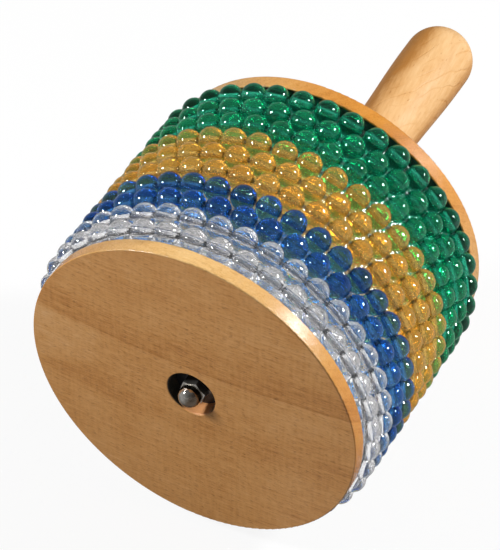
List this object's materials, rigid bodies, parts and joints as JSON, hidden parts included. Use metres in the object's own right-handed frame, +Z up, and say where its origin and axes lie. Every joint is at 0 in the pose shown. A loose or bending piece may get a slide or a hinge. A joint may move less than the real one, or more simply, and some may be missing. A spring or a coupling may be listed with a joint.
{
  "type": "cabasa",
  "caption": "Hand-held cabasa: rows of coloured beads turn round a ribbed drum between wooden discs, on a turned wooden handle.",
  "frame": {"origin": "centre of the bounding box in X and Y, on the surface that the bead rows rest on", "axes": "+Y along the drum's axis from the front disc to the handle's end, +Z up, +X to the right seen from the front disc"},
  "size_m": [0.122, 0.1986, 0.122],
  "materials": {
    "disc_wood": "lacquered plain-sawn hardwood",
    "core_wood": "raw turned wood",
    "sleeve_steel": "bright steel, ribbed",
    "black_steel": "blackened",
    "zinc_steel": "zinc plated",
    "nut_chrome": "polished",
    "handle_wood": "pale turned wood, satin lacquer",
    "insert_brass": "turned",
    "clear_bead": "clear, polished",
    "blue_bead": "transparent blue, polished",
    "yellow_bead": "transparent amber yellow, polished",
    "green_bead": "transparent green, polished",
    "cord_nylon": "clear nylon line"
  },
  "bodies": {
    "drum": {"front_disc": "disc_wood", "rear_disc": "disc_wood", "drum_core": "core_wood", "ribbed_sleeve": "sleeve_steel", "clamp_washer": "black_steel", "tie_rod": "zinc_steel", "cap_nut": "nut_chrome", "handle": "handle_wood", "handle_insert": "insert_brass"},
    "bead_net": {"clear_row_1": "clear_bead", "clear_row_2": "clear_bead", "blue_row_1": "blue_bead", "blue_row_2": "blue_bead", "yellow_row_1": "yellow_bead", "yellow_row_2": "yellow_bead", "yellow_row_3": "yellow_bead", "green_row_1": "green_bead", "green_row_2": "green_bead", "green_row_3": "green_bead", "row_cord_1": "cord_nylon", "row_cord_2": "cord_nylon", "row_cord_3": "cord_nylon", "row_cord_4": "cord_nylon", "row_cord_5": "cord_nylon", "row_cord_6": "cord_nylon", "row_cord_7": "cord_nylon", "row_cord_8": "cord_nylon", "row_cord_9": "cord_nylon", "row_cord_10": "cord_nylon"}
  },
  "joints": [
    {"name": "net_turn", "type": "hinge", "parent": "drum", "child": "bead_net", "pos_m": [0, 0, 0.061], "axis": [0, 1, 0], "continuous": true}
  ]
}
